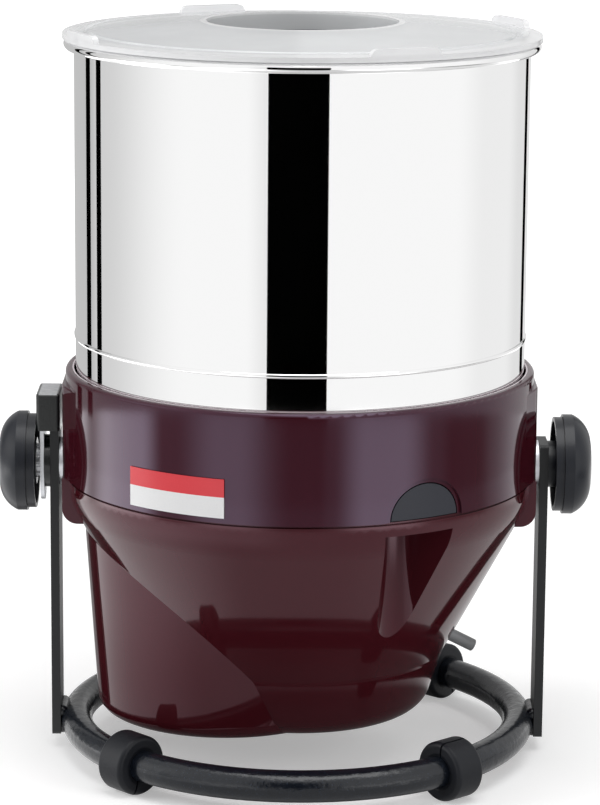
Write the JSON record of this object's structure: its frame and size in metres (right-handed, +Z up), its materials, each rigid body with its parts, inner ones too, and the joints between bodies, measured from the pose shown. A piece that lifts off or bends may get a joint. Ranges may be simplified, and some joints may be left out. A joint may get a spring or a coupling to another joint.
{
  "type": "wet grinder",
  "caption": "Tilting countertop wet grinder: steel drum with conical granite rollers, clear lid, wine-red motor base hung between flat bars on a black tube stand",
  "frame": {"origin": "on the floor, under the axis of the drum", "axes": "+X to the viewer's right along the tilting axis, +Y away from the side with the switch, +Z up"},
  "size_m": [0.3046, 0.247, 0.3796],
  "materials": {
    "stand_paint": "hammered satin",
    "bar_paint": "satin",
    "foot_rubber": "matte",
    "cap_plastic": "satin",
    "knob_plastic": "satin",
    "plated_steel": "plated",
    "bolt_steel": "plated",
    "wine_ring": "glossy",
    "wine_housing": "glossy",
    "sheet_steel": "rolled",
    "post_steel": "ground",
    "bearing_steel": "ground",
    "cast_housing": "cast",
    "motor_paint": "satin",
    "lamination": "stacked",
    "capacitor_plastic": "satin",
    "belt_rubber": "matte",
    "switch_plastic": "satin",
    "gland_plastic": "satin",
    "label_paper": "smooth",
    "fan_plastic": "satin",
    "pulley_alloy": "machined",
    "drum_steel": "mirror",
    "granite": "ground",
    "holder_plastic": "satin",
    "blade_plastic": "satin",
    "bush_bronze": "ground",
    "insert_brass": "turned",
    "lid_clear": "clear"
  },
  "bodies": {
    "stand": {"stand_ring": "stand_paint", "upright_left": "bar_paint", "upright_right": "bar_paint", "weld_beads": "stand_paint", "upright_cap": "cap_plastic", "lock_plate": "plated_steel", "pivot_disc": "cap_plastic", "foot_front_left": "foot_rubber", "foot_front_right": "foot_rubber", "foot_rear_left": "foot_rubber", "foot_rear_right": "foot_rubber"},
    "base": {"body_ring": "wine_ring", "lower_housing": "wine_housing", "deck_plate": "sheet_steel", "deck_screws": "bolt_steel", "machine_screws": "bolt_steel", "motor_screws": "bolt_steel", "housing_screws": "bolt_steel", "pivot_studs": "bolt_steel", "pivot_washers": "plated_steel", "toothed_washer": "plated_steel", "centre_post": "post_steel", "bearing_housing": "cast_housing", "drum_bearings": "bearing_steel", "motor_plate": "sheet_steel", "plate_spacers": "bolt_steel", "motor_can": "motor_paint", "motor_stator": "lamination", "capacitor": "capacitor_plastic", "drive_belt": "belt_rubber", "switch_case": "switch_plastic", "cord_gland": "gland_plastic", "label_plate": "label_paper", "tension_spring": "post_steel"},
    "rotor": {"motor_shaft": "post_steel", "rotor_core": "lamination", "cooling_fan": "fan_plastic", "motor_pulley": "pulley_alloy"},
    "drum": {"drum_pulley": "pulley_alloy", "drum_shell": "drum_steel", "drum_hub": "pulley_alloy", "spindle_sleeve": "post_steel", "riser_tube": "drum_steel", "base_stone": "granite"},
    "holder": {"stone_holder": "holder_plastic", "roller_axles": "post_steel", "scraper_arm": "sheet_steel", "scraper_blade": "blade_plastic"},
    "stone_left": {"roller_left": "granite", "bush_left": "bush_bronze"},
    "stone_right": {"roller_right": "granite", "bush_right": "bush_bronze"},
    "tension": {"tension_knob": "knob_plastic"},
    "clamp_left": {"knob_left": "knob_plastic", "insert_left": "insert_brass"},
    "clamp_right": {"knob_right": "knob_plastic", "insert_right": "insert_brass"},
    "rocker": {"switch_rocker": "switch_plastic"},
    "cover": {"lid": "lid_clear"}
  },
  "joints": [
    {"name": "tilt", "type": "hinge", "parent": "stand", "child": "base", "pos_m": [0, 0, 0.1518], "axis": [1, 0, 0], "range_deg": [0, 95]},
    {"name": "drum_spin", "type": "hinge", "parent": "base", "child": "drum", "pos_m": [0, 0, 0.18], "axis": [0, 0, 1], "continuous": true},
    {"name": "motor_spin", "type": "hinge", "parent": "base", "child": "rotor", "pos_m": [-0.05733, -0.00877, 0.1], "axis": [0, 0, 1], "continuous": true},
    {"name": "holder_float", "type": "slide", "parent": "base", "child": "holder", "axis": [0, 0, 1], "range_m": [0, 0.006], "stiffness_N_per_m": 4000, "springref_m": -0.004, "deforming": ["tension_spring"]},
    {"name": "stone_left_spin", "type": "hinge", "parent": "holder", "child": "stone_left", "pos_m": [0, 0, 0.2063], "axis": [-0.9165, 0, 0.4], "continuous": true},
    {"name": "stone_right_spin", "type": "hinge", "parent": "holder", "child": "stone_right", "pos_m": [0, 0, 0.2063], "axis": [0.9165, 0, 0.4], "continuous": true},
    {"name": "tension_turn", "type": "hinge", "parent": "base", "child": "tension", "pos_m": [0, 0, 0.328], "axis": [0, 0, 1], "range_deg": [0, 180]},
    {"name": "clamp_left_turn", "type": "hinge", "parent": "base", "child": "clamp_left", "pos_m": [0, 0, 0.1518], "axis": [1, 0, 0], "range_deg": [0, 180]},
    {"name": "clamp_right_turn", "type": "hinge", "parent": "base", "child": "clamp_right", "pos_m": [0, 0, 0.1518], "axis": [1, 0, 0], "range_deg": [0, 180]},
    {"name": "switch_rock", "type": "hinge", "parent": "base", "child": "rocker", "pos_m": [0.05913, -0.0984, 0.1567], "axis": [0.8572, 0.515, 0], "range_deg": [-5, 5]},
    {"name": "lid_lift", "type": "slide", "parent": "drum", "child": "cover", "axis": [0, 0, 1], "range_m": [0, 0.06]}
  ],
  "couplings": [
    {"joint": "motor_spin", "follows": "drum_spin", "ratio": 8},
    {"joint": "stone_left_spin", "follows": "drum_spin", "ratio": 2.5},
    {"joint": "stone_right_spin", "follows": "drum_spin", "ratio": 2.5}
  ]
}
